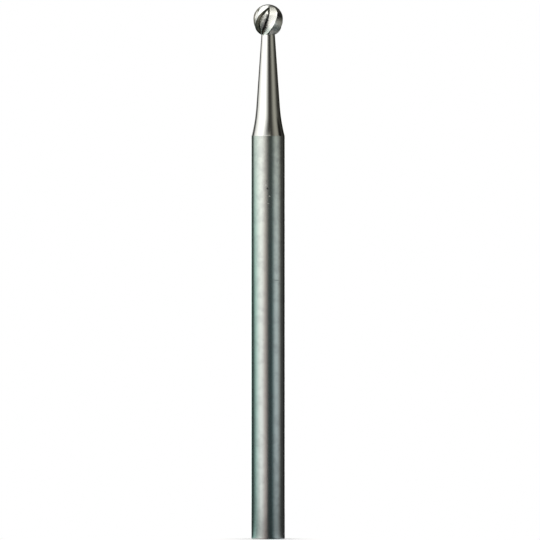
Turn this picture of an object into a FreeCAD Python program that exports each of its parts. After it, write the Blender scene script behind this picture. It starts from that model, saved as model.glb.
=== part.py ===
import FreeCAD, Part
import math
import os

import Sketcher

# Engraving cutter with a fluted ball head, turned and ground from one piece of steel.
# Millimetres and degrees. +Z runs along the axis from the shank's end face to the tip.
# The origin is the centre of the shank's end face.

SIZES = [
    # The turned blank
    ("overall_length", 38.1),
    ("shank_diameter", 2.38),
    ("shank_end_break", 0.05),
    ("shoulder_radius", 12.1),
    ("neck_taper_length", 5.06),
    ("neck_taper_angle", 4.0),
    ("neck_diameter", 0.98),
    ("head_diameter", 2.12),
    ("head_band", 0.17),
    # The ground flutes
    ("flutes_per_half", 4),
    ("flute_start_angle", -36.0),
    ("flute_wrap", 81.0),
    ("flute_veer", 57.0),
    ("flute_tip_angle", 30.0),
    ("flute_deep_angle", 105.0),
    ("flute_neck_angle", 154.0),
    ("flute_depth", 0.30),
    ("flute_runout", 0.06),
    ("flute_notch", 0.02),
    ("rake_angle", 17.0),
    ("land_width", 0.03),
    ("gullet_radius", 0.10),
    ("flute_clearance", 0.20),
]
SIZE = dict(SIZES)

doc = FreeCAD.newDocument("engraving_cutter")

# The sheet of driving sizes
sheet = doc.addObject("Spreadsheet::Sheet", "sizes")
for row, (name, value) in enumerate(SIZES, start=1):
    sheet.set(f"A{row}", name)
    sheet.set(f"B{row}", str(value))
    sheet.setAlias(f"B{row}", name)
doc.recompute()

body = doc.addObject("PartDesign::Body", "engraving_cutter")
body.Label = "engraving_cutter"


def origin_feature(role):
    return next(f for f in body.Origin.OriginFeatures if f.Role == role)


def new_sketch(name, plane):
    sketch = body.newObject("Sketcher::SketchObject", name)
    sketch.AttachmentSupport = [(origin_feature(plane), "")]
    sketch.MapMode = "FlatFace"
    return sketch


def drive(sketch, constraint, name, expression):
    """Adds a constraint of a size, names it and ties it to the sheet."""
    index = sketch.addConstraint(constraint)
    sketch.renameConstraint(index, name)
    sketch.setExpression(f"Constraints.{name}", expression)


def point(x, y):
    return FreeCAD.Vector(x, y, 0)


def line(sketch, start, end):
    return sketch.addGeometry(Part.LineSegment(point(*start), point(*end)), False)


def arc(sketch, centre, radius, start, end):
    circle = Part.Circle(point(*centre), FreeCAD.Vector(0, 0, 1), radius)
    return sketch.addGeometry(Part.ArcOfCircle(circle, start, end), False)


# The half profile of the blank: first estimates of its corners, which the constraints then fix
shank_r = SIZE["shank_diameter"] / 2
neck_r = SIZE["neck_diameter"] / 2
head_r = SIZE["head_diameter"] / 2
end_break = SIZE["shank_end_break"]
blend_r = SIZE["shoulder_radius"]
taper = math.radians(SIZE["neck_taper_angle"])
tip_z = SIZE["overall_length"]
upper_z = tip_z - head_r
lower_z = upper_z - SIZE["head_band"]
neck_z = lower_z - math.sqrt(head_r**2 - neck_r**2)
taper_z = neck_z - SIZE["neck_taper_length"]
taper_r = neck_r + SIZE["neck_taper_length"] * math.tan(taper)
blend_x = taper_r + blend_r * math.cos(taper)
blend_z = taper_z + blend_r * math.sin(taper)
flare = math.acos((blend_x - shank_r) / blend_r)
shoulder_z = blend_z - blend_r * math.sin(flare)

profile = new_sketch("blank_profile", "XZ_Plane")
end_face = line(profile, (0, 0), (shank_r - end_break, 0))
broken_edge = line(profile, (shank_r - end_break, 0), (shank_r, end_break))
shank = line(profile, (shank_r, end_break), (shank_r, shoulder_z))
shoulder = arc(profile, (blend_x, blend_z), blend_r, math.pi + taper, math.pi + flare)
neck = line(profile, (taper_r, taper_z), (neck_r, neck_z))
lower_ball = arc(profile, (0, lower_z), head_r, math.atan2(neck_z - lower_z, neck_r), 0)
band = line(profile, (head_r, lower_z), (head_r, upper_z))
upper_ball = arc(profile, (0, upper_z), head_r, 0, math.pi / 2)
axis = line(profile, (0, tip_z), (0, 0))

# Each pair is one corner: a piece of the profile with the number of its end point, twice
for corner in [
    (end_face, 2, broken_edge, 1),
    (broken_edge, 2, shank, 1),
    (shank, 2, shoulder, 2),
    (neck, 2, lower_ball, 1),
    (upper_ball, 2, axis, 1),
    (axis, 2, end_face, 1),
]:
    profile.addConstraint(Sketcher.Constraint("Coincident", *corner))
profile.addConstraint(Sketcher.Constraint("Tangent", shoulder, 1, neck, 1))
profile.addConstraint(Sketcher.Constraint("Tangent", lower_ball, 2, band, 1))
profile.addConstraint(Sketcher.Constraint("Tangent", band, 2, upper_ball, 1))
profile.addConstraint(Sketcher.Constraint("Coincident", end_face, 1, -1, 1))
profile.addConstraint(Sketcher.Constraint("Horizontal", end_face))
profile.addConstraint(Sketcher.Constraint("Vertical", shank))
profile.addConstraint(Sketcher.Constraint("Vertical", axis))
profile.addConstraint(Sketcher.Constraint("PointOnObject", upper_ball, 3, -2))
profile.addConstraint(Sketcher.Constraint("PointOnObject", lower_ball, 3, -2))

drive(profile, Sketcher.Constraint("DistanceY", axis, 2, axis, 1, tip_z), "length", "sizes.overall_length")
drive(
    profile,
    Sketcher.Constraint("DistanceX", -1, 1, shank, 1, shank_r),
    "shank",
    "sizes.shank_diameter / 2",
)
drive(
    profile,
    Sketcher.Constraint("DistanceX", end_face, 2, shank, 1, end_break),
    "break_width",
    "sizes.shank_end_break",
)
drive(
    profile,
    Sketcher.Constraint("DistanceY", end_face, 2, shank, 1, end_break),
    "break_height",
    "sizes.shank_end_break",
)
drive(profile, Sketcher.Constraint("Radius", shoulder, blend_r), "blend", "sizes.shoulder_radius")
drive(
    profile,
    Sketcher.Constraint("DistanceY", neck, 1, neck, 2, neck_z - taper_z),
    "taper_length",
    "sizes.neck_taper_length",
)
drive(
    profile,
    Sketcher.Constraint("DistanceX", neck, 2, neck, 1, taper_r - neck_r),
    "taper_width",
    "sizes.neck_taper_length * tan(sizes.neck_taper_angle * 1deg)",
)
drive(profile, Sketcher.Constraint("DistanceX", -1, 1, neck, 2, neck_r), "neck", "sizes.neck_diameter / 2")
drive(profile, Sketcher.Constraint("Radius", upper_ball, head_r), "head", "sizes.head_diameter / 2")
drive(
    profile,
    Sketcher.Constraint("DistanceY", band, 1, band, 2, upper_z - lower_z),
    "band",
    "sizes.head_band",
)

blank = body.newObject("PartDesign::Revolution", "blank")
blank.Profile = profile
blank.ReferenceAxis = (profile, ["V_Axis"])
blank.Angle = 360
doc.recompute()
blank_volume = body.Shape.Volume

# The flutes, each cut by a loft through sections that stand square on the ball.
# In each sketch the origin is the ball's centre, x runs in the cutting direction and y points outwards.
# The first flute of each half veers near the tip to meet the second, and its tooth crosses the tip.
SECTIONS = 8
FLUTES = SIZE["flutes_per_half"]
ball_radius = "(sizes.head_diameter / 2)"
rake_lean = "(sizes.rake_angle * 1deg)"


def flute_section(flute, place):
    """Draws one section of a flute, a share of the way from its tip end to its neck end."""
    # Where the section stands: its angle from the tip, and its turn about the cutter's axis
    polar = f"((sizes.flute_tip_angle + (sizes.flute_neck_angle - sizes.flute_tip_angle) * {place}) * 1deg)"
    swing = (
        f"(({polar} - sizes.flute_deep_angle * 1deg)"
        f" / ((sizes.flute_deep_angle - sizes.flute_tip_angle) * 1deg))"
    )
    turn = (
        f"(sizes.flute_start_angle + 180 * {flute} / sizes.flutes_per_half"
        f" - sizes.flute_wrap * ({polar} / 180deg)^3) * 1deg"
    )
    if flute == 0:
        turn += f" + sizes.flute_veer * min({swing}; 0)^2 * 1deg"
    # How far out the surface is there, and how deep the flute is
    if place == 1:
        surface = f"(sizes.neck_diameter / 2 / sin({polar}))"
        depth = "sizes.flute_notch"
    else:
        surface = f"({ball_radius} + {'sizes.flute_runout' if place == 0 else 0})"
        depth = f"(sizes.flute_depth * (1 - {swing}^2))"
    edge = (
        f"(sizes.gullet_radius * (cos({rake_lean}) - tan({rake_lean}) * (1 - sin({rake_lean})))"
        f" + {depth} * tan({rake_lean}))"
    )
    across = f"atan(tan(180deg / sizes.flutes_per_half) * sin({polar}))"
    land_x = f"({ball_radius} * sin({across}) - {edge} - sizes.land_width)"

    # The same in numbers, as first estimates
    head = SIZE["head_diameter"] / 2
    gullet = SIZE["gullet_radius"]
    rake = math.radians(SIZE["rake_angle"])
    tip_angle = SIZE["flute_tip_angle"]
    degrees = tip_angle + (SIZE["flute_neck_angle"] - tip_angle) * place
    from_deep = (degrees - SIZE["flute_deep_angle"]) / (SIZE["flute_deep_angle"] - tip_angle)
    if place == 1:
        far_out = SIZE["neck_diameter"] / 2 / math.sin(math.radians(degrees))
        deep = SIZE["flute_notch"]
    else:
        far_out = head + (SIZE["flute_runout"] if place == 0 else 0)
        deep = SIZE["flute_depth"] * (1 - from_deep**2)
    edge_x = gullet * (math.cos(rake) - math.tan(rake) * (1 - math.sin(rake))) + deep * math.tan(rake)
    half_pitch = math.atan(math.tan(math.pi / FLUTES) * math.sin(math.radians(degrees)))
    end_x = head * math.sin(half_pitch) - edge_x - SIZE["land_width"]
    end_y = math.sqrt(far_out**2 - end_x**2)
    outer = far_out + SIZE["flute_clearance"]
    centre_y = far_out - deep + gullet
    back = math.atan2(end_y - centre_y, end_x) + math.asin(gullet / math.hypot(end_x, end_y - centre_y))
    rake_x = -gullet * math.cos(rake)
    rake_y = centre_y - gullet * math.sin(rake)
    top_x = rake_x - (outer - rake_y) * math.tan(rake)
    back_x = gullet * math.sin(back)
    back_y = centre_y - gullet * math.cos(back)
    far_x = end_x + SIZE["flute_clearance"]
    far_y = end_y + SIZE["flute_clearance"] * math.tan(back)

    section = new_sketch(f"flute_{flute + 1}_section_{round(place * 100)}", "XY_Plane")
    section.setExpression(
        "AttachmentOffset",
        f"placement(vector(0; 0; sizes.overall_length - {ball_radius}"
        f" - sizes.head_band * (1 - cos({polar})) / 2);"
        f" rotation({turn}; 0; 90deg + {polar}))",
    )
    root = arc(section, (0, centre_y), gullet, math.pi + rake, 3 * math.pi / 2 + back)
    rake_line = line(section, (rake_x, rake_y), (top_x, outer))
    outer_line = line(section, (top_x, outer), (far_x, outer))
    side_line = line(section, (far_x, outer), (far_x, far_y))
    back_line = line(section, (far_x, far_y), (back_x, back_y))
    land = section.addGeometry(Part.Point(point(end_x, end_y)), True)
    for rule in [
        ("Tangent", root, 1, rake_line, 1),
        ("Coincident", rake_line, 2, outer_line, 1),
        ("Coincident", outer_line, 2, side_line, 1),
        ("Coincident", side_line, 2, back_line, 1),
        ("Tangent", back_line, 2, root, 2),
        ("PointOnObject", root, 3, -2),
        ("PointOnObject", land, 1, back_line),
        ("Horizontal", outer_line),
        ("Vertical", side_line),
    ]:
        section.addConstraint(Sketcher.Constraint(*rule))
    root_height = f"{surface} - {depth} + sizes.gullet_radius"
    land_y = f"sqrt({surface}^2 - {land_x}^2)"
    for name, rule, expression in [
        ("gullet", ("Radius", root, gullet), "sizes.gullet_radius"),
        ("root_height", ("DistanceY", -1, 1, root, 3, centre_y), root_height),
        ("outer", ("DistanceY", -1, 1, outer_line, 2, outer), f"{surface} + sizes.flute_clearance"),
        ("land_x", ("DistanceX", -1, 1, land, 1, end_x), land_x),
        ("land_y", ("DistanceY", -1, 1, land, 1, end_y), land_y),
        ("overrun", ("DistanceX", land, 1, side_line, 1, SIZE["flute_clearance"]), "sizes.flute_clearance"),
        ("rake", ("Angle", rake_line, 1, -2, 1, -rake), "-sizes.rake_angle * 1deg"),
    ]:
        drive(section, Sketcher.Constraint(*rule), name, expression)
    return section


flutes = []
for number in range(FLUTES):
    sections = [flute_section(number, i / (SECTIONS - 1)) for i in range(SECTIONS)]
    flute = body.newObject("PartDesign::SubtractiveLoft", f"flute_{number + 1}")
    flute.Profile = sections[0]
    flute.Sections = sections[1:]
    flute.Refine = False
    flutes.append(flute)
doc.recompute()
half_volume = body.Shape.Volume

both_halves = body.newObject("PartDesign::PolarPattern", "both_halves")
both_halves.Originals = flutes
both_halves.Axis = (origin_feature("Z_Axis"), [""])
both_halves.Angle = 360
both_halves.Occurrences = 2
body.Tip = both_halves
doc.recompute()

for item in doc.Objects:
    if "Invalid" in item.State or "Error" in item.State:
        raise RuntimeError(f"{item.Name} did not rebuild: {item.State}")
if body.Shape.isNull() or not body.Shape.isValid() or len(body.Shape.Solids) != 1:
    raise RuntimeError("the cutter is not one valid solid")
if not body.Shape.Volume < half_volume < blank_volume:
    raise RuntimeError("the flutes cut nothing")

os.makedirs("parts", exist_ok=True)
body.Shape.exportStep(f"parts/{body.Label}.step")
print("volume", round(body.Shape.Volume, 3), "cubic mm")
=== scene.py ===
# %% [markdown]
# This scene dresses the packed model of an engraving cutter: a thin steel tool with a straight
# shank, a tapered neck and a small ball head with spiral flutes. The packed model is loaded first,
# as a fixed frame. Everything here is in metres, with the origin at the centre of the shank's end
# face, +Z towards the tip, and -Y towards the photograph's camera.

# %% Load the packed model
import math

import bmesh
import bpy
from mathutils import Matrix, Vector


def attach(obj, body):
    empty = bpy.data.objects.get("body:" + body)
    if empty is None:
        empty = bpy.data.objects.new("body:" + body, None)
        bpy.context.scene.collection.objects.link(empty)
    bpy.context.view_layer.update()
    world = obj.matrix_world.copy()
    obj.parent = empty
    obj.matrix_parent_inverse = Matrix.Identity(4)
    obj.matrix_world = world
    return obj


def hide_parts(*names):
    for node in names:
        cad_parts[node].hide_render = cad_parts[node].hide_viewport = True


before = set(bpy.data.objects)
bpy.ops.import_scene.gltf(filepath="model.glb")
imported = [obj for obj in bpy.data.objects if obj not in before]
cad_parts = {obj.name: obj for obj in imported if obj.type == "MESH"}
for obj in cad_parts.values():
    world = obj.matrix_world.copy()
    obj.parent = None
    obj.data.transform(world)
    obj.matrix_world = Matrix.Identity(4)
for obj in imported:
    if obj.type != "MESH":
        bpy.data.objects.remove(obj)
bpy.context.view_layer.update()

scene = bpy.context.scene
MM = 0.001

# %% [markdown]
# The photograph looks square on at the cutter from far away, with no visible perspective. A long
# lens at some distance does the same, and unlike a flat projection it still works when the camera
# moves round. The frame is a square 38.49 mm wide at the cutter, so that the cutter almost fills
# its height, and the axis stands slightly left of the middle.

# %% Camera
FRAME_WIDTH = 38.489 * MM
CAMERA_DISTANCE = 0.8
AIM = Vector((0.1326 * MM, 0, 19.166 * MM))

camera_data = bpy.data.cameras.new("camera")
camera = bpy.data.objects.new("camera", camera_data)
scene.collection.objects.link(camera)
camera_data.sensor_width = 36
camera_data.lens = camera_data.sensor_width * CAMERA_DISTANCE / FRAME_WIDTH
camera_data.clip_start = 0.01
camera_data.clip_end = 10
camera.location = AIM - Vector((0, CAMERA_DISTANCE, 0))
camera.rotation_euler = (math.radians(90), 0, 0)
scene.camera = camera
scene.view_settings.view_transform = "Standard"
print("lens", round(camera_data.lens, 1), "mm")

# %% [markdown]
# These are the cutter's own sizes in millimetres, the same as in the part's source. The blank is
# turned: a shank with a broken edge at its end, a hollow curve up to the neck, a straight taper
# and a ball that is slightly longer than it is wide.

# %% Sizes of the blank
OVERALL_LENGTH = 38.1
SHANK_RADIUS = 2.38 / 2
END_BREAK = 0.05
SHOULDER_RADIUS = 12.1
TAPER_LENGTH = 5.06
TAPER_ANGLE = math.radians(4.0)
NECK_RADIUS = 0.98 / 2
HEAD_RADIUS = 2.12 / 2
HEAD_BAND = 0.17

upper_z = OVERALL_LENGTH - HEAD_RADIUS
lower_z = upper_z - HEAD_BAND
neck_z = lower_z - math.sqrt(HEAD_RADIUS**2 - NECK_RADIUS**2)
taper_z = neck_z - TAPER_LENGTH
taper_radius = NECK_RADIUS + TAPER_LENGTH * math.tan(TAPER_ANGLE)
shoulder_x = taper_radius + SHOULDER_RADIUS * math.cos(TAPER_ANGLE)
shoulder_centre_z = taper_z + SHOULDER_RADIUS * math.sin(TAPER_ANGLE)
flare = math.acos((shoulder_x - SHANK_RADIUS) / SHOULDER_RADIUS)
shoulder_z = shoulder_centre_z - SHOULDER_RADIUS * math.sin(flare)
print("shoulder", round(shoulder_z, 3), "taper", round(taper_z, 3), "neck", round(neck_z, 3))

# %% [markdown]
# Shader maths reads best as ordinary arithmetic. This small class wraps a node's output socket,
# and each operator adds one Math node, so a finish can be written as a short formula.

# %% Arithmetic on sockets
class Value:
    """An output socket of a shader node, with arithmetic."""

    def __init__(self, shader, socket):
        self.shader = shader
        self.socket = socket

    def math(self, operation, *others):
        return self.shader.node("ShaderNodeMath", {"operation": operation}, [self, *others])

    def __add__(self, other):
        return self.math("ADD", other)

    __radd__ = __add__

    def __sub__(self, other):
        return self.math("SUBTRACT", other)

    def __rsub__(self, other):
        return self.shader.node("ShaderNodeMath", {"operation": "SUBTRACT"}, [other, self])

    def __mul__(self, other):
        return self.math("MULTIPLY", other)

    __rmul__ = __mul__

    def __truediv__(self, other):
        return self.math("DIVIDE", other)

    def __pow__(self, other):
        return self.math("POWER", other)


print("wrapped sockets:", Value.__doc__)

# %% [markdown]
# One method adds any node: its settings first, then its inputs. The others are the few steps that
# every finish below uses: a soft edge, a band between two soft edges, a mix of two colours, noise
# and the place of the surface point in millimetres.

# %% Building a material
class Shader:
    """The node tree of one material, started empty."""

    def __init__(self, name):
        self.material = bpy.data.materials.new(name)
        self.material.use_nodes = True
        self.tree = self.material.node_tree
        self.tree.nodes.clear()

    def node(self, kind, settings, inputs, output=0):
        """Adds a node: its settings first, then the values or links of its sockets."""
        made = self.tree.nodes.new(kind)
        for name, value in settings.items():
            setattr(made, name, value)
        pairs = inputs.items() if isinstance(inputs, dict) else enumerate(inputs)
        for key, value in pairs:
            if isinstance(value, Value):
                self.tree.links.new(value.socket, made.inputs[key])
            else:
                made.inputs[key].default_value = value
        return Value(self, made.outputs[output]) if made.outputs else None

    def step(self, value, low, high):
        """0 below low, 1 above high, and smooth between them."""
        return self.node(
            "ShaderNodeMapRange",
            {"interpolation_type": "SMOOTHSTEP"},
            {"Value": value, "From Min": low, "From Max": high},
        )

    def band(self, value, rise, fall):
        """1 between two soft edges, each given by where it starts and ends, and 0 outside."""
        return self.step(value, *rise) * (1 - self.step(value, *fall))

    def mix(self, factor, first, second):
        """A mix of two colours."""
        return self.node(
            "ShaderNodeMix", {"data_type": "RGBA"}, {0: factor, 6: first, 7: second}, output=2
        )

    def noise(self, point, scale, detail=4):
        """Cloudy noise from 0 to 1, with the scale in features per metre."""
        inputs = {"Vector": point, "Scale": scale, "Detail": detail, "Roughness": 0.6}
        return self.node("ShaderNodeTexNoise", {}, inputs)

    def place(self):
        """The surface point, and its x, y and z in millimetres."""
        point = self.node("ShaderNodeTexCoord", {}, {}, output="Object")
        split = [self.node("ShaderNodeSeparateXYZ", {}, [point], output=i) for i in range(3)]
        return point, [axis / MM for axis in split]

    def finish(self, surface):
        self.node("ShaderNodeOutputMaterial", {}, {"Surface": surface})
        return self.material


def colour(red, green, blue):
    return (red, green, blue, 1)


print("material helpers:", [name for name in vars(Shader) if not name.startswith("_")])

# %% [markdown]
# Handling leaves a few tiny pits and nicks on the shank and the neck. They could be cut into the
# mesh, but at a tenth of a millimetre a change of finish looks the same and needs no faces. Each
# one is an ellipse on the front with soft edges. A pit is darker than the steel round it. A nick is
# rougher, so that it scatters some of the bright side into the dark reflections. The head's middle
# flute looks dark over a wider strip than it is cut here, so dark ellipses along it add painted
# shade.

# %% Pits, nicks and painted shade along the middle flute
# Each mark: across, up, half its width, half its height in millimetres, and how strong it is
PITS = [
    (-0.046, 24.97, 0.10, 0.10, 0.95),
    (-0.10, 25.50, 0.07, 0.07, 0.45),
    (0.60, 18.44, 0.28, 0.05, 0.45),
    (-0.35, 14.20, 0.06, 0.06, 0.35),
    (0.22, 9.10, 0.06, 0.06, 0.40),
]
# Painted shade: dark ellipses along the head's middle flute widen the shadow in it
MIDDLE_FLUTE_PAINTED_SHADE = [
    (-0.07, 37.23, 0.17, 0.24, 0.85),
    (-0.15, 36.95, 0.26, 0.22, 0.85),
    (-0.23, 36.70, 0.29, 0.22, 0.85),
    (-0.33, 36.47, 0.26, 0.24, 0.85),
]
NICKS = [
    (0.09, 24.40, 0.09, 0.07, 0.9),
    (-0.16, 25.20, 0.05, 0.09, 0.8),
    (0.02, 23.90, 0.08, 0.05, 0.7),
    (0.26, 34.85, 0.06, 0.04, 0.9),
    (0.20, 34.35, 0.05, 0.04, 0.7),
]
MARK_EDGE = (0.3, 1.0)
FRONT_EDGE = (-0.2, 0.0)


def marks(s, x, y, z, places):
    """How much of the marks there is at a point on the front, from 0 to 1."""
    total = 0
    for across, up, half_width, half_height, strength in places:
        wide = (x - across) / half_width
        high = (z - up) / half_height
        distance = (wide * wide + high * high) ** 0.5
        total = total + strength * (1 - s.step(distance, *MARK_EDGE))
    return total * (1 - s.step(y, *FRONT_EDGE))


print("pits", len(PITS), "strip", len(MIDDLE_FLUTE_PAINTED_SHADE), "nicks", len(NICKS))

# %% [markdown]
# The wheel leaves fine lines along each flute. A noise that changes quickly across the flutes and
# slowly along them draws such lines. The flutes turn round the head as the cube of the angle from
# the tip, so that turn is added back before the angle round the axis is used. The lines then follow
# the flutes, which a plain noise wouldn't do.

# %% Grinding lines along the flutes
# WRAP is how far a flute turns from the tip to the end of that curve, in degrees
WRAP = 81.0
LINES_ACROSS = 38
LINES_ALONG = 1.6
LINE_RANGE = (0.48, 0.70)


def grinding_lines(s, x, y, z):
    """Fine lines along the flutes, from 0 to 1."""
    polar = ((z - (upper_z + lower_z) / 2) / HEAD_RADIUS).math("ARCCOSINE")
    around = y.math("ARCTAN2", x) + math.radians(WRAP) * (polar / math.pi) ** 3
    spread = s.node("ShaderNodeCombineXYZ", {}, [around * LINES_ACROSS, z * LINES_ALONG, 0.0])
    return s.step(s.noise(spread, 1.0, detail=3), *LINE_RANGE)


print("grinding lines, about", round(LINES_ACROSS * math.pi * 2), "round the head")

# %% [markdown]
# The whole cutter is one piece of hardened tool steel with several finishes. The shank is ground
# round between wheels, which leaves a satin surface with faint stains, and its colour has a slight
# green-grey cast that grows darker and more teal towards the end. The neck is ground brighter. A
# picture of metal could be wrapped round it, but noise on the object's own coordinates needs no
# picture and shows no seam.

# %% Colour of the ground steel
BRIGHT = colour(0.72, 0.72, 0.70)
GREEN = colour(0.61, 0.64, 0.60)
TEAL = colour(0.49, 0.52, 0.51)
TEAL_END = 4.0
STAIN = colour(0.40, 0.41, 0.41)
STAIN_SHARE = 0.45
STAIN_RANGE = (0.42, 0.68)


def ground_colour(s, z, on_shank, blotch):
    """The colour of the shank, the neck and the lands of the head."""
    shank_colour = s.mix(s.step(z, TEAL_END, shoulder_z), TEAL, GREEN)
    stained = STAIN_SHARE * s.step(blotch, *STAIN_RANGE)
    return s.mix(on_shank, BRIGHT, s.mix(stained, shank_colour, STAIN))


print("ground steel from", TEAL[:3], "at the end to", GREEN[:3], "at the shoulder")

# %% [markdown]
# On the head the backs of the teeth are ground matt, and their light colour is partly painted
# light.
# The rake faces are darker and the roots of the flutes nearly black, as painted shade in the
# flutes.
# Near the tip the rake face that shows at the far left is painted lighter, inside a dark rim.

# %% Colour of the flutes
LINE_SHARE = 0.6
LINE_SHADE = 0.6
PAINTED_LIGHT_ACROSS = (0.70, 0.80)
PAINTED_LIGHT_UP = (36.95, 37.20)
PAINTED_LIGHT_RIM = (0.90, 1.0)


def flute_face_colour(s, x, y, z, flute_colour):
    """The colour of one kind of face in the flutes, with grinding lines and painted light at the
    far left.
    """
    line_colour = colour(*(LINE_SHADE * value for value in flute_colour[:3]))
    lined = s.mix(LINE_SHARE * grinding_lines(s, x, y, z), flute_colour, line_colour)
    from_middle = (x * x + (z - upper_z) * (z - upper_z)) ** 0.5
    # Painted light: near the tip the far-left rake face is mixed towards bright steel, short of the
    # rim
    painted_light = s.step(0 - x, *PAINTED_LIGHT_ACROSS) * s.step(z, *PAINTED_LIGHT_UP)
    painted_light = painted_light * (1 - s.step(from_middle, *PAINTED_LIGHT_RIM))
    return s.mix(painted_light, lined, BRIGHT)


print("clean rake face from", PAINTED_LIGHT_UP[0], "mm up")

# %% [markdown]
# The rings that the wheel leaves round the shank are far finer than a pixel, and only blur its
# reflections. A very slight bump from a noise that is squeezed along the axis does that, and a
# rounder noise adds the ripple that makes the edges of the reflections uneven.

# %% Relief of the steel
RING_STRETCH = (900, 900, 45000)
RIPPLE_SCALE = 2600
RINGS_ON_NECK = 0.3
RINGS_ON_SHANK = 1.0
RIPPLE_ON_NECK = 12
RIPPLE_ON_SHANK = 62
BUMP_STRENGTH = 0.02
BUMP_DISTANCE = 0.002 * MM


def steel_bump(s, point, on_shank):
    """The surface direction, tilted by fine rings and a slight ripple."""
    stretched = s.node("ShaderNodeMapping", {}, {"Vector": point, "Scale": RING_STRETCH})
    rings = s.noise(stretched, 1.0, detail=3)
    ripple = s.noise(point, RIPPLE_SCALE, detail=2)
    height = rings * (RINGS_ON_NECK + (RINGS_ON_SHANK - RINGS_ON_NECK) * on_shank)
    height = height + ripple * (RIPPLE_ON_NECK + (RIPPLE_ON_SHANK - RIPPLE_ON_NECK) * on_shank)
    inputs = {"Strength": BUMP_STRENGTH, "Distance": BUMP_DISTANCE, "Height": height}
    return s.node("ShaderNodeBump", {}, inputs)


print("rings", RING_STRETCH[2], "per metre along the axis, ripple", RIPPLE_SCALE, "per metre")

# %% [markdown]
# All finishes, with the painted shade and light of the flute faces, come from one function, so that
# they agree where they meet. The roughness grows from the bright neck to the satin shank and the
# matt head, and the teeth on the left are the most matt.

# %% Steel
BLOTCH_SCALE = 1400
SHOULDER_BLUR = 0.03
HEAD_START = (-0.02, 0.05)
# The dark colour of the pits, also used for the painted shade along the middle flute
PIT_AND_PAINTED_SHADE = colour(0.10, 0.10, 0.10)
NECK_ROUGHNESS = 0.12
MORE_ON_SHANK = 0.08
MORE_ON_HEAD = 0.16
MORE_IN_NICKS = 0.35
MORE_IN_BLOTCHES = 0.16
MATT_END = (0.45, 0.70)
MATT_LEAN = 0.25
MATT_LEAN_UP = (36.3, 36.7)


def make_steel(name, flute_colour=None, flute_roughness=0.0):
    """The cutter's steel, or a copy of it for one kind of flute face, whose colour carries painted
    light.
    """
    s = Shader(name)
    point, (x, y, z) = s.place()
    on_shank = 1 - s.step(z, shoulder_z - SHOULDER_BLUR, shoulder_z + SHOULDER_BLUR)
    on_head = s.step(z, neck_z + HEAD_START[0], neck_z + HEAD_START[1])
    blotch = s.noise(point, BLOTCH_SCALE)
    if flute_colour:
        base = flute_face_colour(s, x, y, z, flute_colour)
    else:
        base = ground_colour(s, z, on_shank, blotch)
    # Pits darken the steel, and the ellipses along the middle flute darken it as painted shade
    base = s.mix(marks(s, x, y, z, PITS + MIDDLE_FLUTE_PAINTED_SHADE), base, PIT_AND_PAINTED_SHADE)

    roughness = NECK_ROUGHNESS + MORE_ON_SHANK * on_shank + MORE_ON_HEAD * on_head
    roughness = roughness + MORE_IN_NICKS * marks(s, x, y, z, NICKS)
    roughness = roughness + (blotch - 0.5) * MORE_IN_BLOTCHES * on_shank
    # On the lower half of the head the matt side ends further left
    across = x + MATT_LEAN * (1 - s.step(z, *MATT_LEAN_UP))
    roughness = roughness + flute_roughness * (1 - s.step(across, *MATT_END))

    bump = steel_bump(s, point, on_shank)
    inputs = {"Base Color": base, "Metallic": 1.0, "Roughness": roughness, "Normal": bump}
    return s.finish(s.node("ShaderNodeBsdfPrincipled", {}, inputs))


GROUND_STEEL = make_steel("ground_steel")
# Painted shade: the roots and rake faces are coloured dark for the shade in the flutes
ROOT_STEEL_PAINTED_SHADE = make_steel("root_painted_shade", colour(0.12, 0.12, 0.10), -0.08)
RAKE_STEEL_PAINTED_SHADE = make_steel("rake_painted_shade", colour(0.19, 0.19, 0.16), -0.04)
# Painted light: the backs' light colour is painted light, and their matt grind is real
BACK_STEEL_PAINTED_LIGHT = make_steel("back_painted_light", colour(0.92, 0.92, 0.88), 0.18)
FINISHES_AND_PAINTED_LIGHT = [GROUND_STEEL, ROOT_STEEL_PAINTED_SHADE, RAKE_STEEL_PAINTED_SHADE, BACK_STEEL_PAINTED_LIGHT]
ROOT, RAKE_FACE, BACK = 1, 2, 3
print("finishes", [finish.name for finish in FINISHES_AND_PAINTED_LIGHT])

# %% [markdown]
# A turned part is a half profile swept round its axis. The blank could be put together from
# cylinders, cones and a ball, but one profile leaves no seams between them. It is a chain of edges
# from the centre of the end face to the tip, with short edges on the curves. The spin operator
# sweeps it in 192 steps, which leaves no visible facets on polished steel. Merging can leave the
# faces in another order on each run, and the cuts that follow would then differ by a few tiny
# triangles, so the faces are sorted before they are written to a mesh.

# %% Turn the blank
TURN_STEPS = 192
SHANK_RINGS = 14
SHOULDER_STEPS = 24
NECK_RINGS = 6
LOWER_BALL_STEPS = 48
UPPER_BALL_STEPS = 64
MERGE_DISTANCE = 0.0002 * MM


def arc_points(centre_x, centre_z, radius, start, end, steps):
    """Points along an arc of the half profile, from one angle to another."""
    angles = [start + (end - start) * i / steps for i in range(steps + 1)]
    return [(centre_x + radius * math.cos(a), centre_z + radius * math.sin(a)) for a in angles]


def add_profile(bm, points):
    """Chains points of the half profile with edges."""
    made = [bm.verts.new((x * MM, 0, z * MM)) for x, z in points]
    for first, second in zip(made, made[1:]):
        bm.edges.new((first, second))


def write_mesh(bm, mesh):
    """Sorts the faces by their first two corners, and writes the bmesh to a mesh."""
    bm.verts.index_update()
    count = len(bm.verts)
    bm.faces.sort(key=lambda face: face.verts[0].index * count + face.verts[1].index)
    bm.to_mesh(mesh)
    bm.free()


def add_object(bm, name, materials):
    """Makes a new object of the scene from a bmesh, with its materials."""
    mesh = bpy.data.meshes.new(name)
    write_mesh(bm, mesh)
    for material in materials:
        mesh.materials.append(material)
    made = bpy.data.objects.new(name, mesh)
    scene.collection.objects.link(made)
    return made


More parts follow.
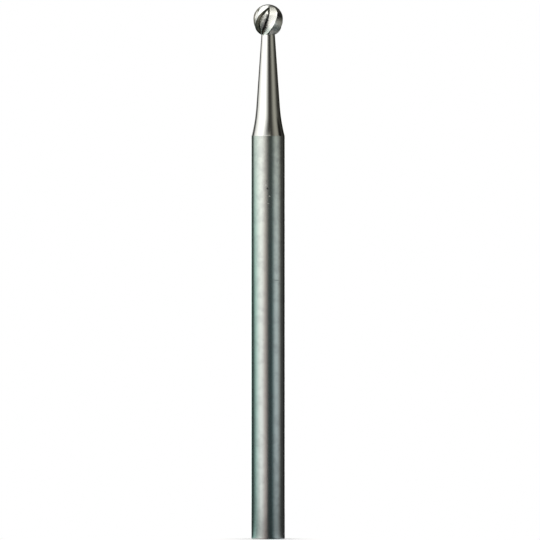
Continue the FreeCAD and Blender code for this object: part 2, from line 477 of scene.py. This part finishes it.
profile = [(0, 0), (SHANK_RADIUS - END_BREAK, 0), (SHANK_RADIUS, END_BREAK)]
profile += [
    (SHANK_RADIUS, END_BREAK + (shoulder_z - END_BREAK) * i / SHANK_RINGS)
    for i in range(1, SHANK_RINGS)
]
profile += arc_points(
    shoulder_x,
    shoulder_centre_z,
    SHOULDER_RADIUS,
    math.pi + flare,
    math.pi + TAPER_ANGLE,
    SHOULDER_STEPS,
)
profile += [
    (
        taper_radius + (NECK_RADIUS - taper_radius) * i / NECK_RINGS,
        taper_z + TAPER_LENGTH * i / NECK_RINGS,
    )
    for i in range(1, NECK_RINGS)
]
neck_corner = math.atan2(neck_z - lower_z, NECK_RADIUS)
profile += arc_points(0, lower_z, HEAD_RADIUS, neck_corner, 0, LOWER_BALL_STEPS)
profile += arc_points(0, upper_z, HEAD_RADIUS, 0, math.pi / 2, UPPER_BALL_STEPS)

bm = bmesh.new()
add_profile(bm, profile)
bmesh.ops.spin(
    bm,
    geom=bm.verts[:] + bm.edges[:],
    cent=(0, 0, 0),
    axis=(0, 0, 1),
    angle=2 * math.pi,
    steps=TURN_STEPS,
    use_merge=True,
)
bmesh.ops.remove_doubles(bm, verts=bm.verts, dist=MERGE_DISTANCE)
bmesh.ops.recalc_face_normals(bm, faces=bm.faces)
cutter = add_object(bm, "cutter", [GROUND_STEEL])
blank = cutter.data
print("blank", len(blank.polygons), "faces")

# %% [markdown]
# A grinding wheel cuts each flute: it starts near the tip, is deepest just below the middle of
# the ball, and runs out into the neck. Its section is a steep rake face, a rounded root and a
# long flat back that ends just short of the next cutting edge. A bump in the material could fake
# this, but the outline would stay round, so the flutes are real cuts. Eight such sections are
# placed along each one, and a smooth curve through their corners gives the ones in between.

# %% Sizes of the flutes
# Lengths are in millimetres and angles in degrees, except the rake. TIP_ANGLE, DEEP_ANGLE and
# NECK_ANGLE are measured down from the tip.
FLUTES = 8
FLUTES_PER_HALF = 4
START_ANGLE = -36.0
VEER = 57.0
TIP_ANGLE = 30.0
DEEP_ANGLE = 105.0
NECK_ANGLE = 154.0
FLUTE_DEPTH = 0.30
RUNOUT = 0.06
NOTCH = 0.02
RAKE = math.radians(17.0)
LAND_WIDTH = 0.03
GULLET_RADIUS = 0.10
CLEARANCE = 0.20
STATIONS = 8
ROOT_STEPS = 10


def section_points(flute, place):
    """The corners of one section of a flute, in millimetres, where they stand on the ball."""
    degrees = TIP_ANGLE + (NECK_ANGLE - TIP_ANGLE) * place
    polar = math.radians(degrees)
    swing = (degrees - DEEP_ANGLE) / (DEEP_ANGLE - TIP_ANGLE)
    turn = START_ANGLE + 180 * flute / FLUTES_PER_HALF - WRAP * (degrees / 180) ** 3
    if flute % FLUTES_PER_HALF == 0:
        turn += VEER * min(swing, 0) ** 2
    surface = HEAD_RADIUS + (RUNOUT if place == 0 else 0)
    depth = FLUTE_DEPTH * (1 - swing**2)
    if place == 1:
        surface = NECK_RADIUS / math.sin(polar)
        depth = NOTCH
    edge_x = GULLET_RADIUS * (math.cos(RAKE) - math.tan(RAKE) * (1 - math.sin(RAKE)))
    edge_x += depth * math.tan(RAKE)
    half_pitch = math.atan(math.tan(math.pi / FLUTES_PER_HALF) * math.sin(polar))
    land_x = HEAD_RADIUS * math.sin(half_pitch) - edge_x - LAND_WIDTH
    land_y = math.sqrt(surface**2 - land_x**2)
    outer = surface + CLEARANCE
    root_y = surface - depth + GULLET_RADIUS
    back = math.atan2(land_y - root_y, land_x)
    back += math.asin(GULLET_RADIUS / math.hypot(land_x, land_y - root_y))
    start, end = math.pi + RAKE, 1.5 * math.pi + back
    corners = arc_points(0, root_y, GULLET_RADIUS, start, end, ROOT_STEPS)
    rake_x, rake_y = corners[0]
    far_x = land_x + CLEARANCE
    corners += [
        (far_x, land_y + CLEARANCE * math.tan(back)),
        (far_x, outer),
        (rake_x - (outer - rake_y) * math.tan(RAKE), outer),
    ]
    centre_z = OVERALL_LENGTH - HEAD_RADIUS - HEAD_BAND * (1 - math.cos(polar)) / 2
    stand = Matrix.Translation((0, 0, centre_z))
    stand = stand @ Matrix.Rotation(math.radians(turn), 4, "Z")
    stand = stand @ Matrix.Rotation(math.pi / 2 + polar, 4, "X")
    return [stand @ Vector((x, y, 0)) for x, y in corners]


print("section corners", len(section_points(0, 0.5)))

# %% [markdown]
# The wheel's path between the eight placed sections is a natural cubic curve through each corner.
# The sections are joined with the bridge operator into one closed cutting form per flute.

# %% Shape of one flute
STEPS_BETWEEN = 14


def smooth_path(knots, steps):
    """Points on a natural cubic curve through the knots, with even steps between them."""
    count = len(knots)
    bend = [Vector((0, 0, 0)) for _ in knots]
    share = [0.0] * count
    for i in range(1, count - 1):
        weight = 4 - share[i - 1]
        share[i] = 1 / weight
        pull = 6 * (knots[i + 1] - 2 * knots[i] + knots[i - 1])
        bend[i] = (pull - bend[i - 1]) / weight
    for i in range(count - 2, 0, -1):
        bend[i] = bend[i] - share[i] * bend[i + 1]
    path = []
    for i in range(count - 1):
        for step in range(steps):
            ahead = step / steps
            behind = 1 - ahead
            pull = (behind**3 - behind) * bend[i] + (ahead**3 - ahead) * bend[i + 1]
            path.append(behind * knots[i] + ahead * knots[i + 1] + pull / 6)
    return path + [knots[-1]]


def flute_form(flute):
    """A mesh object of the steel that the wheel takes out for one flute."""
    half, number = divmod(flute, FLUTES_PER_HALF)
    placed = [section_points(number, i / (STATIONS - 1)) for i in range(STATIONS)]
    paths = [smooth_path(list(knots), STEPS_BETWEEN) for knots in zip(*placed)]
    bm = bmesh.new()
    rings = []
    corner_of = {}
    for section in zip(*paths):
        verts = [bm.verts.new(corner * MM) for corner in section]
        corner_of.update((vert, corner) for corner, vert in enumerate(verts))
        rings.append([bm.edges.new((a, b)) for a, b in zip(verts, verts[1:] + verts[:1])])
    for first, second in zip(rings, rings[1:]):
        bmesh.ops.bridge_loops(bm, edges=first + second)
    for end in (rings[0], rings[-1]):
        bmesh.ops.contextual_create(bm, geom=end)
    last = len(placed[0]) - 1
    for face in bm.faces:
        corners = {corner_of[vert] for vert in face.verts}
        if max(corners) <= ROOT_STEPS:
            face.material_index = ROOT
        elif corners == {0, last}:
            face.material_index = RAKE_FACE
        elif corners == {ROOT_STEPS, ROOT_STEPS + 1}:
            face.material_index = BACK
    turn = Matrix.Rotation(math.pi * half, 3, "Z")
    bmesh.ops.rotate(bm, verts=bm.verts, cent=(0, 0, 0), matrix=turn)
    bmesh.ops.recalc_face_normals(bm, faces=bm.faces)
    return add_object(bm, f"flute_{flute}", FINISHES_AND_PAINTED_LIGHT)


print("steps along a flute", STEPS_BETWEEN * (STATIONS - 1))

# %% [markdown]
# The flute in the middle of each half starts with a shallow run-in, where the wheel first touches
# the ball. It is cut with a small stretched ball, laid along the surface that is there already. The
# packed model leaves this detail out.

# %% Shape of a run-in
RUN_IN_MIDDLE = Vector((0.04, -0.68, 37.60))
RUN_IN_TILT = math.radians(66.6)
RUN_IN_HALF_SIZE = (0.08, 0.36, 0.085)
RUN_IN_SEGMENTS = 48


def run_in_form(half):
    """A mesh object of the steel that the wheel takes out where a middle flute starts."""
    place = Matrix.Rotation(math.pi * half, 4, "Z")
    place = place @ Matrix.Translation(RUN_IN_MIDDLE * MM)
    place = place @ Matrix.Rotation(RUN_IN_TILT, 4, "X")
    place = place @ Matrix.Diagonal([size * MM for size in RUN_IN_HALF_SIZE] + [1])
    bm = bmesh.new()
    bmesh.ops.create_uvsphere(
        bm,
        u_segments=RUN_IN_SEGMENTS,
        v_segments=RUN_IN_SEGMENTS // 2,
        radius=1,
        matrix=place,
    )
    for face in bm.faces:
        face.material_index = ROOT
    bmesh.ops.recalc_face_normals(bm, faces=bm.faces)
    return add_object(bm, f"run_in_{half}", FINISHES_AND_PAINTED_LIGHT)


print("run-in", 2 * RUN_IN_HALF_SIZE[1], "mm long")

# %% [markdown]
# Each flute and run-in is cut out of the blank with the Boolean modifier's exact solver, and the
# result is written back to the cutter's own mesh, because a live modifier would need the cutting
# forms. The cut faces keep the materials of the form that cut them, with their painted shade and
# light.

# %% Cut the flutes
CUT_MERGE_DISTANCE = 0.0005 * MM
CUT_SLIVER = 0.0002 * MM
forms = [flute_form(number) for number in range(FLUTES)]
forms += [run_in_form(half) for half in range(2)]
for form in forms:
    cut = cutter.modifiers.new("cut", "BOOLEAN")
    cut.operation = "DIFFERENCE"
    cut.solver = "EXACT"
    cut.material_mode = "TRANSFER"
    cut.object = form
graph = bpy.context.evaluated_depsgraph_get()
fluted = bpy.data.meshes.new_from_object(cutter.evaluated_get(graph))
cutter.modifiers.clear()
cutter.data = fluted
fluted.name = "cutter"
bpy.data.meshes.remove(blank)
for form in forms:
    bpy.data.meshes.remove(form.data)

bm = bmesh.new()
bm.from_mesh(fluted)
bmesh.ops.remove_doubles(bm, verts=bm.verts, dist=CUT_MERGE_DISTANCE)
bmesh.ops.dissolve_degenerate(bm, edges=bm.edges, dist=CUT_SLIVER)
open_edges = [edge for edge in bm.edges if not edge.is_manifold]
volume = bm.calc_volume() / MM**3
write_mesh(bm, fluted)
fluted.calc_loop_triangles()
print("cutter", len(fluted.loop_triangles), "triangles", len(open_edges), "open", round(volume, 3))

# %% [markdown]
# Curved faces are shaded smooth, and every edge sharper than 13 degrees stays crisp: the cutting
# edges, the corner under the head, the shoulder line and the broken edge at the end. The cutter
# then stands for the packed node and rides on its body.

# %% Shade the cutter
SHARP_ANGLE = math.radians(13)
fluted.shade_smooth()
fluted.set_sharp_from_angle(angle=SHARP_ANGLE)
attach(cutter, "root")
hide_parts("engraving_cutter")
sharp = sum(1 for mark in fluted.attributes["sharp_edge"].data if mark.value)
print("cutter", sharp, "crisp edges")

# %% [markdown]
# Bright metal shows its surroundings, so the light is a small round tent of glowing cloth, as is
# used to photograph jewellery. Area lamps could light the cutter too, but each would show as a
# hard-edged shape in the steel. The cutter stands in the tent's middle. A point of the shank shows
# the cloth at its own height, the neck and the shoulder show it somewhat higher, and the head shows
# all of it. Here a place on the cloth is its angle in degrees, 0 towards the camera and more to the
# right, and its height in millimetres. A pair of numbers is a soft edge: where it starts and ends.

# %% Light on the tent's wall
LEFT_GLOW = 1.75
RIGHT_GLOW = 0.35
GAP_GLOW = 0.05
BACK_GLOW = 0.012
WINDOW_GLOW = 1.1


def wall_light(s, azimuth, z):
    """The wall: a bright left side, a dim right side and a dark gap and back."""
    # How far the place is below what the neck shows, and how far above what the shoulder shows
    low = 1 - s.step(z, 30, 48)
    high = s.step(z, 60, 95)
    # The left light grows from the far side to the front, and ends further left higher up
    left_full = -70 - 34 * s.step(z, 2, 30)
    left_start = -40 - 14 * low - 20 * high
    left_end = 12 - 3 * low - 8 * high
    left = s.band(azimuth, (-136, left_full), (left_start, left_end))
    ramp_start = 0.4 + 0.1 * s.step(z, 8, 24)
    left = left * (ramp_start + (1 - ramp_start) * s.step(azimuth, -125, -50))
    left = left * (1.5 - 0.5 * s.step(z, 0, 5))
    right = s.step(azimuth + 4 * low, 24, 60) * (1 - s.step(azimuth + 2 * low, 62, 106))
    glow = left * (LEFT_GLOW - 0.45 * low) + right * (RIGHT_GLOW + 0.37 * low - 0.03 * high)
    glow = glow + GAP_GLOW + 0.03 * low
    back = s.step(azimuth.math("ABSOLUTE"), 112, 140)
    glow = glow * (1 - back) + BACK_GLOW * back
    # A low window straight behind and a strip behind on the left light the cutter's edges
    window = s.step(azimuth.math("ABSOLUTE"), 158, 168) * (1 - s.step(z, 46, 60))
    edge_light = s.band(azimuth, (-172, -158), (-150, -138)) * (0.16 + 0.30 * (1 - low))
    return glow + WINDOW_GLOW * window + edge_light, left, right, back, window


print("wall glow, left", LEFT_GLOW, "right", RIGHT_GLOW)

# %% [markdown]
# The roof is bright over the left and the front, which whitens the upper sides of the teeth, and
# dim over the right. Two dark patches of the wall on the right darken the head on that side: one at
# the head's own height, between what the shank and the neck show, and one in the corner above it.

# %% Roof and dark patches
ROOF_GLOW = 1.70
ROOF_DIM = 0.16


def roof_light(s, azimuth, z, glow, back):
    """Adds the roof and the dark patches to the glow of the wall."""
    # At the back the roof's light starts higher up, so that the head's outline stays dark
    above = s.step(z, 92 + 48 * back, 110 + 55 * back)
    roof = ROOF_DIM + ROOF_GLOW * (1 - s.step(azimuth, 8, 26))
    roof = roof * (1 - 0.95 * s.band(azimuth, (62, 72), (100, 112)))
    glow = glow * (1 - above) + roof * above
    level = 0.70 * s.step(azimuth, 24, 38) + 0.28 * s.step(azimuth, 56, 68)
    level = level * (1 - s.step(azimuth, 100, 120)) * s.band(z, (29, 34), (40, 45))
    corner = s.step(z, 52, 60) * s.band(azimuth, (76, 88), (100, 120))
    return glow * (1 - level) * (1 - 0.85 * corner)


print("roof glow", ROOF_GLOW, "over the left,", ROOF_DIM, "over the right")

# %% [markdown]
# The bottom of the tent is a dark cloth with light patches. The cutter's steep faces under the
# ball's middle show it. Close to the shank it repeats the wall, so that the bands run on down to
# the shank's end.

# %% Bottom of the tent
BOTTOM_DARK = 0.04


def bottom_light(s, azimuth, out, left, right, window):
    """The glow of the bottom cloth, with out the distance from the axis."""
    front_left = s.band(azimuth, (-70, -45), (-14, -2))
    front_right = s.band(azimuth, (28, 44), (64, 84))
    far_left = s.band(azimuth, (-130, -110), (-92, -80))
    board = BOTTOM_DARK + (1.1 * front_left + 0.12 * front_right) * s.step(out, 24, 48)
    board = board + (1 - s.step(out, 4, 10)) * (0.55 * left + 0.40 * right)
    return board + (1 - s.step(out, 22, 30)) * (0.6 * far_left + 0.12 * right + 0.9 * window)


print("bottom glow", BOTTOM_DARK, "where it is dark")

# %% [markdown]
# The left light is slightly green-blue at its far edge and rosy where it ends, and the right one is
# slightly blue. The tints are weaker higher up, where the neck and the head are nearly neutral.

# %% Colour of the light
NEUTRAL = colour(1, 1, 0.97)
FAR_LEFT_TINT = colour(0.62, 1, 0.90)
ROSY = colour(1, 0.86, 0.82)
GAP_TINT = colour(0.62, 0.95, 1)
RIGHT_TINT = colour(0.86, 0.97, 1)
CREAM = colour(1, 0.98, 0.84)


def tent_tint(s, azimuth, z):
    """The colour of the light, by its angle and height."""
    tint = s.mix(s.step(azimuth, -115, -45), FAR_LEFT_TINT, NEUTRAL)
    tint = s.mix(s.step(azimuth, -44, -18), tint, ROSY)
    tint = s.mix(s.step(azimuth, -8, 8), tint, GAP_TINT)
    tint = s.mix(s.step(azimuth, 24, 48), tint, RIGHT_TINT)
    tint = s.mix(s.step(azimuth, 64, 90), tint, NEUTRAL)
    upper = s.mix(s.step(azimuth, -20, 24), NEUTRAL, CREAM)
    return s.mix(s.step(z, 20, 36), tint, upper)


print("tints from left to right", FAR_LEFT_TINT[:3], ROSY[:3], GAP_TINT[:3], RIGHT_TINT[:3])

# %% [markdown]
# The tent's own shape is a drum, spun from three edges: bottom, wall and roof. Only reflections
# show it. It is hidden from the camera and from diffuse light and throws no shadow, so the floor
# and the background stay plain.

# %% Light tent
TENT_RADIUS = 0.12
TENT_HEIGHT = 0.20
TENT_BOTTOM = 0.02 * MM
TENT_STEPS = 96
TENT_MERGE_DISTANCE = 0.01 * MM
BOTTOM_EDGE = (55, 112)
BOTTOM_TOP = (0, 1)


def azimuth_degrees(x, y):
    """The angle round the axis, 0 towards the camera and more to the right."""
    return x.math("ARCTAN2", 0 - y) * math.degrees(1)


def make_tent_cloth():
    s = Shader("tent_cloth")
    _, (x, y, z) = s.place()
    azimuth = azimuth_degrees(x, y)
    out = (x * x + y * y) ** 0.5
    glow, left, right, back, window = wall_light(s, azimuth, z)
    glow = roof_light(s, azimuth, z, glow, back)
    on_bottom = (1 - s.step(out, *BOTTOM_EDGE)) * (1 - s.step(z, *BOTTOM_TOP))
    board = bottom_light(s, azimuth, out, left, right, window)
    glow = glow * (1 - on_bottom) + board * on_bottom
    tinted = s.node(
        "ShaderNodeVectorMath",
        {"operation": "SCALE"},
        {"Vector": tent_tint(s, azimuth, z), "Scale": glow},
    )
    return s.finish(s.node("ShaderNodeEmission", {}, {"Color": tinted, "Strength": 1.0}))


def show_in_reflections_only(piece):
    piece.visible_camera = False
    piece.visible_diffuse = False
    piece.visible_shadow = False


bm = bmesh.new()
outline = [
    (0, 0, TENT_BOTTOM),
    (0, -TENT_RADIUS, TENT_BOTTOM),
    (0, -TENT_RADIUS, TENT_HEIGHT),
    (0, 0, TENT_HEIGHT),
]
corners = [bm.verts.new(corner) for corner in outline]
edges = [bm.edges.new(pair) for pair in zip(corners, corners[1:])]
bmesh.ops.spin(
    bm,
    geom=corners + edges,
    cent=(0, 0, 0),
    axis=(0, 0, 1),
    angle=2 * math.pi,
    steps=TENT_STEPS,
    use_merge=True,
)
bmesh.ops.remove_doubles(bm, verts=bm.verts, dist=TENT_MERGE_DISTANCE)
tent = add_object(bm, "tent", [make_tent_cloth()])
show_in_reflections_only(tent)
print("tent", len(tent.data.polygons), "faces")

# %% [markdown]
# The right side of the head is dark, although the neck below it shows a light band on that side. A
# dark patch of the wall would dim the neck as well. A small black card close to the head doesn't,
# because it stands so near that only the head reflects it. It is a curved strip with soft edges.

# %% Black card beside the head
CARD_RADIUS = 6 * MM
CARD_BOTTOM = 37 * MM
CARD_TOP = 45 * MM
CARD_START = math.radians(30)
CARD_ANGLE = math.radians(80)
CARD_STEPS = 32


def make_card_cloth():
    s = Shader("black_card")
    _, (x, y, z) = s.place()
    across = s.band(azimuth_degrees(x, y), (39, 61), (93, 105))
    # Half dark at the head's middle, nearly black above it, and clear again at the top
    up = 0.42 * s.step(z, 36.9, 37.4) + 0.56 * s.step(z, 37.6, 38.4)
    dark = across * up * (1 - s.step(z, 42, 45))
    clear = s.node("ShaderNodeBsdfTransparent", {}, {})
    black = s.node("ShaderNodeEmission", {}, {"Color": colour(0, 0, 0), "Strength": 0.0})
    return s.finish(s.node("ShaderNodeMixShader", {}, [dark, clear, black]))


bm = bmesh.new()
ends = [bm.verts.new((0, -CARD_RADIUS, height)) for height in (CARD_BOTTOM, CARD_TOP)]
turn_to_start = Matrix.Rotation(CARD_START, 3, "Z")
bmesh.ops.rotate(bm, verts=ends, cent=(0, 0, 0), matrix=turn_to_start)
bmesh.ops.spin(
    bm,
    geom=ends + [bm.edges.new(ends)],
    cent=(0, 0, 0),
    axis=(0, 0, 1),
    angle=CARD_ANGLE,
    steps=CARD_STEPS,
    use_merge=False,
)
card = add_object(bm, "black_card", [make_card_cloth()])
show_in_reflections_only(card)
print("card", len(card.data.polygons), "faces")

# %% [markdown]
# The floor is a plain white board under the shank's end, lit evenly by the white world. It keeps
# the cutter's soft contact shadow. A few millimetres out it fades to the white background. That
# glow is only for the camera and the reflections, so it lights nothing.

# %% Floor and background
FLOOR_RADIUS = 0.6
FLOOR_SIDES = 96
BOARD_WHITE = colour(0.95, 0.95, 0.95)
WHITE = colour(1, 1, 1)
FADE_START = 1.3
FADE_END = 4.0
SEEN_BY = ("Is Camera Ray", "Is Glossy Ray", "Is Transmission Ray")


def make_board():
    s = Shader("white_board")
    _, (x, y, _) = s.place()
    out = (x * x + y * y) ** 0.5
    seen = sum(s.node("ShaderNodeLightPath", {}, {}, output=ray) for ray in SEEN_BY)
    board = s.node("ShaderNodeBsdfDiffuse", {}, {"Color": BOARD_WHITE})
    white = s.node("ShaderNodeEmission", {}, {"Color": WHITE, "Strength": 1.0})
    fade = s.step(out, FADE_START, FADE_END) * seen
    return s.finish(s.node("ShaderNodeMixShader", {}, [fade, board, white]))


bm = bmesh.new()
bmesh.ops.create_circle(bm, cap_ends=True, segments=FLOOR_SIDES, radius=FLOOR_RADIUS)
floor = add_object(bm, "floor", [make_board()])

world = bpy.data.worlds.new("white_world")
world.use_nodes = True
background = world.node_tree.nodes["Background"]
background.inputs["Color"].default_value = WHITE
background.inputs["Strength"].default_value = 1.0
scene.world = world
print("floor radius", FLOOR_RADIUS, "m, world", world.name)

# %% [markdown]
